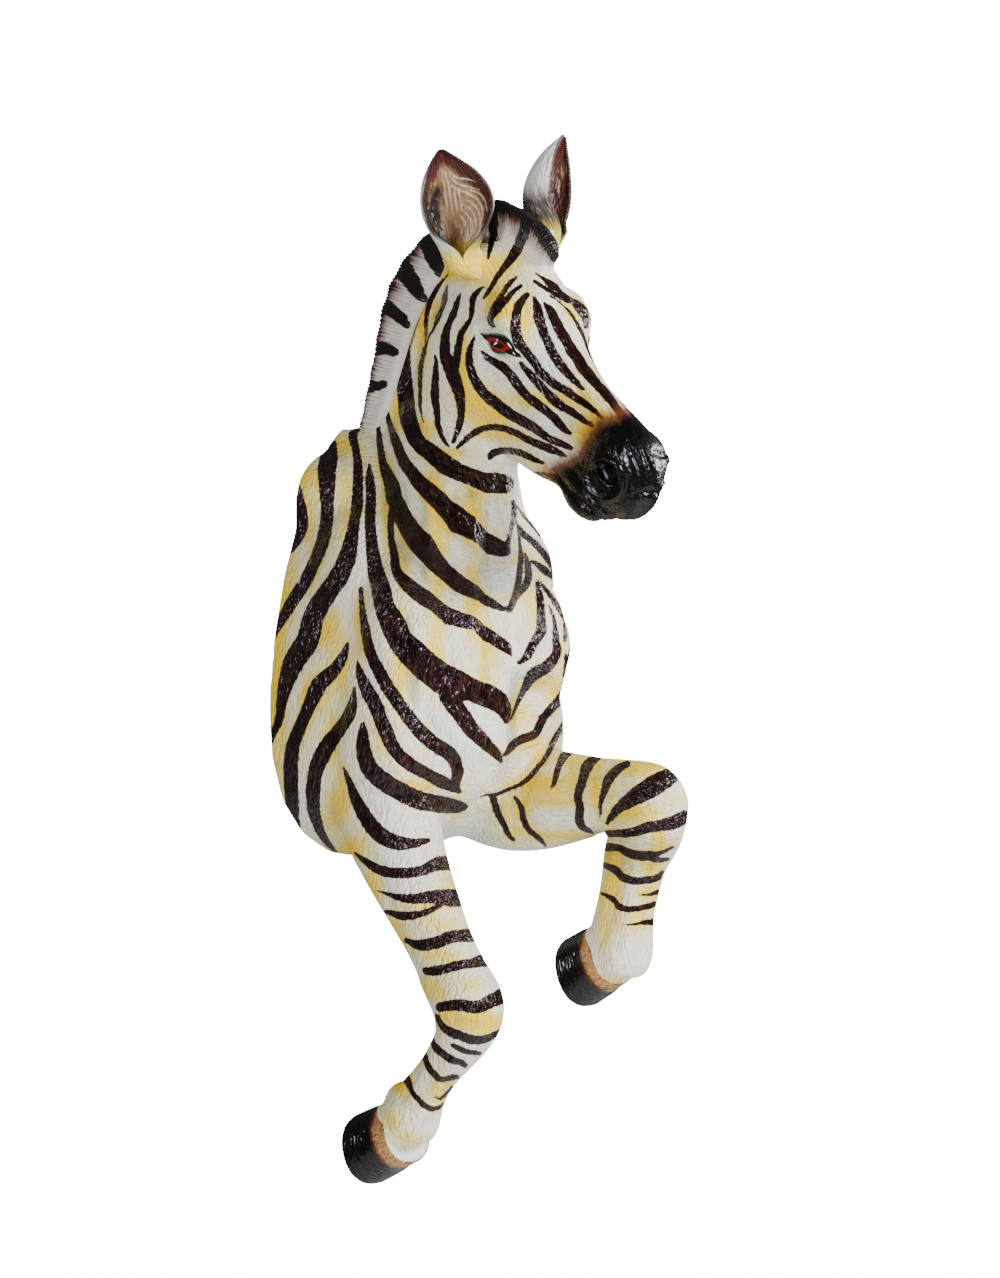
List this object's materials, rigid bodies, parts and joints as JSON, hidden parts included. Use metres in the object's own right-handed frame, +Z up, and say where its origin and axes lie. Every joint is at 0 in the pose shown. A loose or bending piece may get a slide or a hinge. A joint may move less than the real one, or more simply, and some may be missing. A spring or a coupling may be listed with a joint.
{
  "type": "zebra wall sculpture",
  "caption": "Hollow cast front half of a leaping zebra with head turned aside, forelegs bent, flat back for hanging on a wall.",
  "frame": {"origin": "point in the flat back where the sculpture hangs on the wall, near the middle of the back's outline", "axes": "+Y out of the flat back, into the wall; the zebra leaps towards -Y, its left side is +X; +Z up"},
  "size_m": [0.3856, 0.5942, 1.5141],
  "materials": {
    "painted_resin": "hand-painted satin resin with a carved coat"
  },
  "bodies": {
    "root": {"zebra_casting": "painted_resin"}
  },
  "joints": []
}
